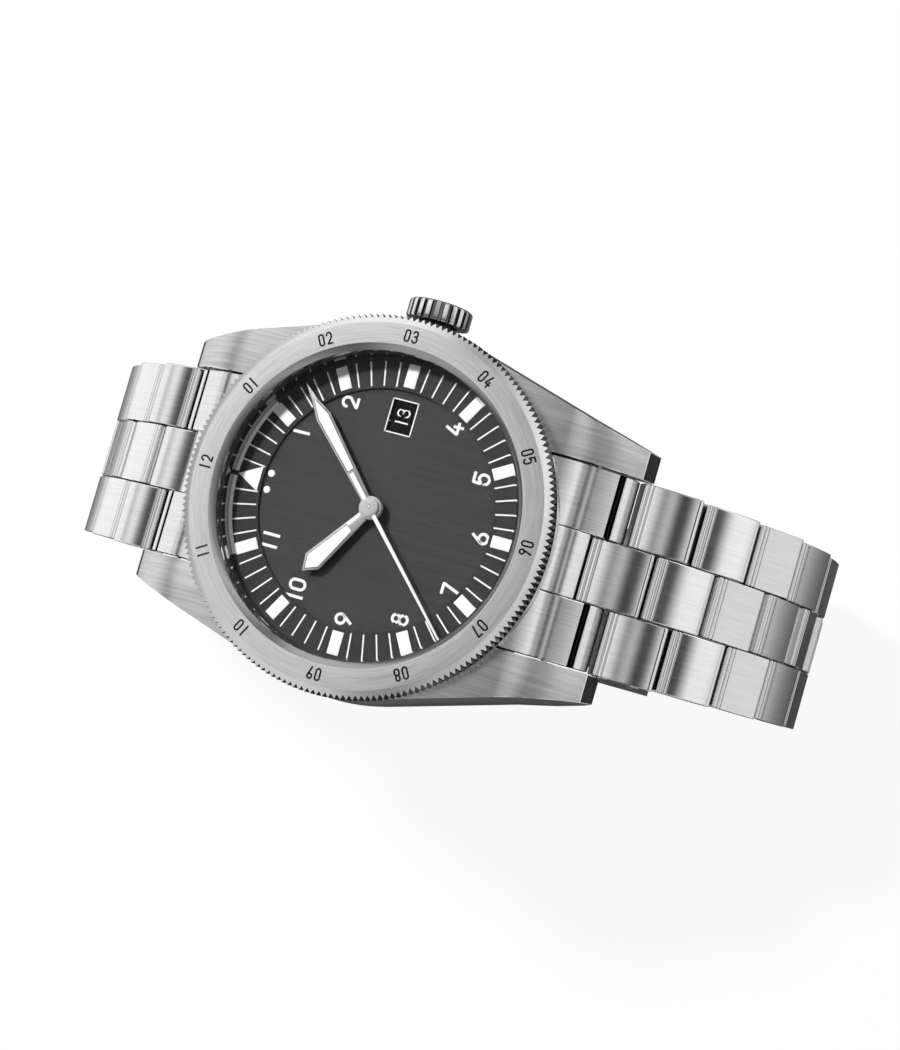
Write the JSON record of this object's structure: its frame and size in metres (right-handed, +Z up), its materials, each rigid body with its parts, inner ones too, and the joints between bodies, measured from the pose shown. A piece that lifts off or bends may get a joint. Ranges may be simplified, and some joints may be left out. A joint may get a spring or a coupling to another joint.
{
  "type": "pilot watch",
  "caption": "Steel pilot's watch with a turning knurled bezel, grey dial, date window and a three-row link bracelet that closes with a folding clasp.",
  "frame": {"origin": "on the dial's axis, on the flat underside of the closed clasp", "axes": "+X to 3 o'clock and the crown, +Y to 12 o'clock, +Z up out of the dial"},
  "size_m": [0.044, 0.0889, 0.0627],
  "materials": {
    "brushed_case": "fine brushed stainless steel with polished edges",
    "polished_steel": "polished stainless steel",
    "brushed_links": "lengthwise brushed stainless steel with polished bevels",
    "crystal": "clear domed sapphire",
    "dial_grey": "dark grey sunburst brushed dial",
    "lume": "off-white luminous paint",
    "black_ring": "gloss black inner ring",
    "seal": "black rubber",
    "date_black": "black disc with white numbers",
    "spacer": "pale moulded plastic",
    "brass": "gilt brass wheel",
    "plate_nickel": "nickel plated movement plate",
    "hand_steel": "polished steel hand with a white luminous filling",
    "second_white": "white lacquered needle hand"
  },
  "bodies": {
    "case": {"case_middle": "brushed_case", "case_back": "polished_steel", "gaskets": "seal", "crystal": "crystal", "rehaut_ring": "black_ring", "bezel_spring_ring": "polished_steel", "crown_tube": "polished_steel", "movement_ring": "spacer", "dial": "dial_grey", "hour_markers": "lume", "main_plate": "plate_nickel", "train_bridge": "plate_nickel", "balance_cock": "plate_nickel", "movement_screws": "polished_steel", "end_link_6": "brushed_links", "end_link_12": "brushed_links", "spring_bars": "polished_steel"},
    "bezel": {"bezel": "brushed_case"},
    "setting_lever": {"setting_lever": "polished_steel"},
    "crown": {"crown": "polished_steel", "winding_stem": "polished_steel"},
    "seconds": {"fourth_wheel": "brass", "second_hand": "second_white"},
    "third_wheel": {"third_wheel": "brass"},
    "minutes": {"centre_wheel": "brass", "minute_hand": "hand_steel"},
    "minute_wheel": {"minute_wheel": "brass"},
    "hours": {"hour_wheel": "brass", "hour_hand": "hand_steel"},
    "barrel": {"barrel": "brass"},
    "escape_wheel": {"escape_wheel": "polished_steel"},
    "pallet_fork": {"pallet_fork": "polished_steel"},
    "balance_wheel": {"balance_wheel": "brass"},
    "rotor": {"rotor": "plate_nickel"},
    "date_disc": {"date_disc": "date_black"},
    "link_6_1": {"link_6_1": "brushed_links"},
    "link_6_2": {"link_6_2": "brushed_links"},
    "link_6_3": {"link_6_3": "brushed_links"},
    "link_6_4": {"link_6_4": "brushed_links"},
    "link_6_5": {"link_6_5": "brushed_links"},
    "link_6_6": {"link_6_6": "brushed_links"},
    "link_6_7": {"link_6_7": "brushed_links"},
    "link_6_8": {"link_6_8": "brushed_links"},
    "link_6_9": {"link_6_9": "brushed_links"},
    "clasp_cover": {"clasp_cover": "brushed_links"},
    "clasp_middle_leaf": {"clasp_middle_leaf": "polished_steel"},
    "clasp_inner_leaf": {"clasp_inner_leaf": "polished_steel"},
    "clasp_pusher_left": {"clasp_pusher_left": "polished_steel"},
    "clasp_pusher_right": {"clasp_pusher_right": "polished_steel"},
    "link_12_1": {"link_12_1": "brushed_links"},
    "link_12_2": {"link_12_2": "brushed_links"},
    "link_12_3": {"link_12_3": "brushed_links"},
    "link_12_4": {"link_12_4": "brushed_links"},
    "link_12_5": {"link_12_5": "brushed_links"},
    "link_12_6": {"link_12_6": "brushed_links"},
    "link_12_7": {"link_12_7": "brushed_links"},
    "link_12_8": {"link_12_8": "brushed_links"},
    "link_12_9": {"link_12_9": "brushed_links"},
    "link_12_10": {"link_12_10": "brushed_links"},
    "link_12_11": {"link_12_11": "brushed_links"}
  },
  "joints": [
    {"name": "bezel_turn", "type": "hinge", "parent": "case", "child": "bezel", "pos_m": [0, 0, 0.05783], "axis": [0, 0, 1], "continuous": true},
    {"name": "crown_pull", "type": "slide", "parent": "case", "child": "setting_lever", "axis": [1, 0, 0], "range_m": [0, 0.002]},
    {"name": "crown_turn", "type": "hinge", "parent": "setting_lever", "child": "crown", "pos_m": [0.021, 0, 0.05493], "axis": [1, 0, 0], "continuous": true},
    {"name": "seconds_turn", "type": "hinge", "parent": "case", "child": "seconds", "pos_m": [0, 0, 0.05783], "axis": [0, 0, 1], "continuous": true},
    {"name": "third_wheel_turn", "type": "hinge", "parent": "case", "child": "third_wheel", "pos_m": [0.00078, -0.00443, 0.05483], "axis": [0, 0, 1], "continuous": true},
    {"name": "minutes_turn", "type": "hinge", "parent": "case", "child": "minutes", "pos_m": [0, 0, 0.05783], "axis": [0, 0, 1], "continuous": true},
    {"name": "minute_wheel_turn", "type": "hinge", "parent": "case", "child": "minute_wheel", "pos_m": [-0.00197, -0.00138, 0.05663], "axis": [0, 0, 1], "continuous": true},
    {"name": "hours_turn", "type": "hinge", "parent": "case", "child": "hours", "pos_m": [0, 0, 0.05783], "axis": [0, 0, 1], "continuous": true},
    {"name": "barrel_turn", "type": "hinge", "parent": "case", "child": "barrel", "pos_m": [-0.00407, 0.00407, 0.05523], "axis": [0, 0, 1], "continuous": true},
    {"name": "escape_wheel_turn", "type": "hinge", "parent": "case", "child": "escape_wheel", "pos_m": [0.00438, -0.00038, 0.05513], "axis": [0, 0, 1], "continuous": true},
    {"name": "pallet_fork_rock", "type": "hinge", "parent": "case", "child": "pallet_fork", "pos_m": [0.0049, 0.003, 0.05513], "axis": [0, 0, 1], "range_deg": [-2, 2]},
    {"name": "balance_swing", "type": "hinge", "parent": "case", "child": "balance_wheel", "pos_m": [0.0052, 0.0057, 0.05463], "axis": [0, 0, 1], "range_deg": [-135, 135]},
    {"name": "rotor_turn", "type": "hinge", "parent": "case", "child": "rotor", "pos_m": [0, 0, 0.05313], "axis": [0, 0, 1], "continuous": true},
    {"name": "date_turn", "type": "hinge", "parent": "case", "child": "date_disc", "pos_m": [0, 0, 0.05703], "axis": [0, 0, 1], "continuous": true},
    {"name": "bend_6_1", "type": "hinge", "parent": "case", "child": "link_6_1", "pos_m": [0, -0.024, 0.05203], "axis": [1, 0, 0], "range_deg": [-20, 0]},
    {"name": "bend_6_2", "type": "hinge", "parent": "link_6_1", "child": "link_6_2", "pos_m": [0, -0.03027, 0.04849], "axis": [1, 0, 0], "range_deg": [-12, 0]},
    {"name": "bend_6_3", "type": "hinge", "parent": "link_6_2", "child": "link_6_3", "pos_m": [0, -0.03566, 0.04371], "axis": [1, 0, 0], "range_deg": [-14, 0]},
    {"name": "bend_6_4", "type": "hinge", "parent": "link_6_3", "child": "link_6_4", "pos_m": [0, -0.03974, 0.03778], "axis": [1, 0, 0], "range_deg": [-15.5, 0]},
    {"name": "bend_6_5", "type": "hinge", "parent": "link_6_4", "child": "link_6_5", "pos_m": [0, -0.04208, 0.03097], "axis": [1, 0, 0], "range_deg": [-16.5, 0]},
    {"name": "bend_6_6", "type": "hinge", "parent": "link_6_5", "child": "link_6_6", "pos_m": [0, -0.0424, 0.02378], "axis": [1, 0, 0], "range_deg": [-12.5, 0]},
    {"name": "bend_6_7", "type": "hinge", "parent": "link_6_6", "child": "link_6_7", "pos_m": [0, -0.04115, 0.01669], "axis": [1, 0, 0], "range_deg": [-15, 0]},
    {"name": "bend_6_8", "type": "hinge", "parent": "link_6_7", "child": "link_6_8", "pos_m": [0, -0.0381, 0.01016], "axis": [1, 0, 0], "range_deg": [-21, 0]},
    {"name": "bend_6_9", "type": "hinge", "parent": "link_6_8", "child": "link_6_9", "pos_m": [0, -0.03292, 0.00516], "axis": [1, 0, 0], "range_deg": [-24, 0]},
    {"name": "bend_6_clasp", "type": "hinge", "parent": "link_6_9", "child": "clasp_cover", "pos_m": [0, -0.02616, 0.0027], "axis": [1, 0, 0], "range_deg": [-20, 0]},
    {"name": "clasp_open", "type": "hinge", "parent": "clasp_cover", "child": "clasp_middle_leaf", "pos_m": [0, 0.00863, 0.00225], "axis": [1, 0, 0], "range_deg": [-165, 0]},
    {"name": "clasp_leaf_fold", "type": "hinge", "parent": "clasp_middle_leaf", "child": "clasp_inner_leaf", "pos_m": [0, -0.01996, 0.0028], "axis": [1, 0, 0], "range_deg": [0, 132]},
    {"name": "pusher_left_press", "type": "slide", "parent": "clasp_cover", "child": "clasp_pusher_left", "axis": [1, 0, 0], "range_m": [0, 0.001], "stiffness_N_per_m": 200},
    {"name": "pusher_right_press", "type": "slide", "parent": "clasp_cover", "child": "clasp_pusher_right", "axis": [-1, 0, 0], "range_m": [0, 0.001], "stiffness_N_per_m": 200},
    {"name": "bend_12_1", "type": "hinge", "parent": "case", "child": "link_12_1", "pos_m": [0, 0.024, 0.05203], "axis": [1, 0, 0], "range_deg": [0, 15]},
    {"name": "bend_12_2", "type": "hinge", "parent": "link_12_1", "child": "link_12_2", "pos_m": [0, 0.03024, 0.04843], "axis": [1, 0, 0], "range_deg": [0, 13]},
    {"name": "bend_12_3", "type": "hinge", "parent": "link_12_2", "child": "link_12_3", "pos_m": [0, 0.0355, 0.04352], "axis": [1, 0, 0], "range_deg": [0, 13]},
    {"name": "bend_12_4", "type": "hinge", "parent": "link_12_3", "child": "link_12_4", "pos_m": [0, 0.03953, 0.03755], "axis": [1, 0, 0], "range_deg": [0, 13]},
    {"name": "bend_12_5", "type": "hinge", "parent": "link_12_4", "child": "link_12_5", "pos_m": [0, 0.04211, 0.03083], "axis": [1, 0, 0], "range_deg": [0, 13]},
    {"name": "bend_12_6", "type": "hinge", "parent": "link_12_5", "child": "link_12_6", "pos_m": [0, 0.04311, 0.0237], "axis": [1, 0, 0], "range_deg": [0, 15]},
    {"name": "bend_12_7", "type": "hinge", "parent": "link_12_6", "child": "link_12_7", "pos_m": [0, 0.04223, 0.01655], "axis": [1, 0, 0], "range_deg": [0, 18]},
    {"name": "bend_12_8", "type": "hinge", "parent": "link_12_7", "child": "link_12_8", "pos_m": [0, 0.03919, 0.01003], "axis": [1, 0, 0], "range_deg": [0, 22]},
    {"name": "bend_12_9", "type": "hinge", "parent": "link_12_8", "child": "link_12_9", "pos_m": [0, 0.03392, 0.00512], "axis": [1, 0, 0], "range_deg": [0, 24]},
    {"name": "bend_12_10", "type": "hinge", "parent": "link_12_9", "child": "link_12_10", "pos_m": [0, 0.02712, 0.00277], "axis": [1, 0, 0], "range_deg": [0, 15]},
    {"name": "bend_12_11", "type": "hinge", "parent": "link_12_10", "child": "link_12_11", "pos_m": [0, 0.01993, 0.00227], "axis": [1, 0, 0], "range_deg": [0, 4]}
  ],
  "couplings": [
    {"joint": "third_wheel_turn", "follows": "seconds_turn", "ratio": -0.13333},
    {"joint": "minutes_turn", "follows": "seconds_turn", "ratio": 0.016667},
    {"joint": "minute_wheel_turn", "follows": "seconds_turn", "ratio": -0.0055556},
    {"joint": "hours_turn", "follows": "seconds_turn", "ratio": 0.0013889},
    {"joint": "barrel_turn", "follows": "seconds_turn", "ratio": -0.002381},
    {"joint": "escape_wheel_turn", "follows": "seconds_turn", "ratio": -10},
    {"joint": "bend_6_2", "follows": "bend_6_1", "ratio": 0.6},
    {"joint": "bend_6_3", "follows": "bend_6_1", "ratio": 0.7},
    {"joint": "bend_6_4", "follows": "bend_6_1", "ratio": 0.775},
    {"joint": "bend_6_5", "follows": "bend_6_1", "ratio": 0.825},
    {"joint": "bend_6_6", "follows": "bend_6_1", "ratio": 0.625},
    {"joint": "bend_6_7", "follows": "bend_6_1", "ratio": 0.75},
    {"joint": "bend_6_8", "follows": "bend_6_1", "ratio": 1.05},
    {"joint": "bend_6_9", "follows": "bend_6_1", "ratio": 1.2},
    {"joint": "bend_6_clasp", "follows": "bend_6_1", "ratio": 1},
    {"joint": "clasp_leaf_fold", "follows": "clasp_open", "ratio": -0.8},
    {"joint": "bend_12_1", "follows": "clasp_open", "ratio": -0.090909},
    {"joint": "bend_12_2", "follows": "clasp_open", "ratio": -0.078788},
    {"joint": "bend_12_3", "follows": "clasp_open", "ratio": -0.078788},
    {"joint": "bend_12_4", "follows": "clasp_open", "ratio": -0.078788},
    {"joint": "bend_12_5", "follows": "clasp_open", "ratio": -0.078788},
    {"joint": "bend_12_6", "follows": "clasp_open", "ratio": -0.090909},
    {"joint": "bend_12_7", "follows": "clasp_open", "ratio": -0.10909},
    {"joint": "bend_12_8", "follows": "clasp_open", "ratio": -0.13333},
    {"joint": "bend_12_9", "follows": "clasp_open", "ratio": -0.14545},
    {"joint": "bend_12_10", "follows": "clasp_open", "ratio": -0.090909},
    {"joint": "bend_12_11", "follows": "clasp_open", "ratio": -0.024242}
  ]
}
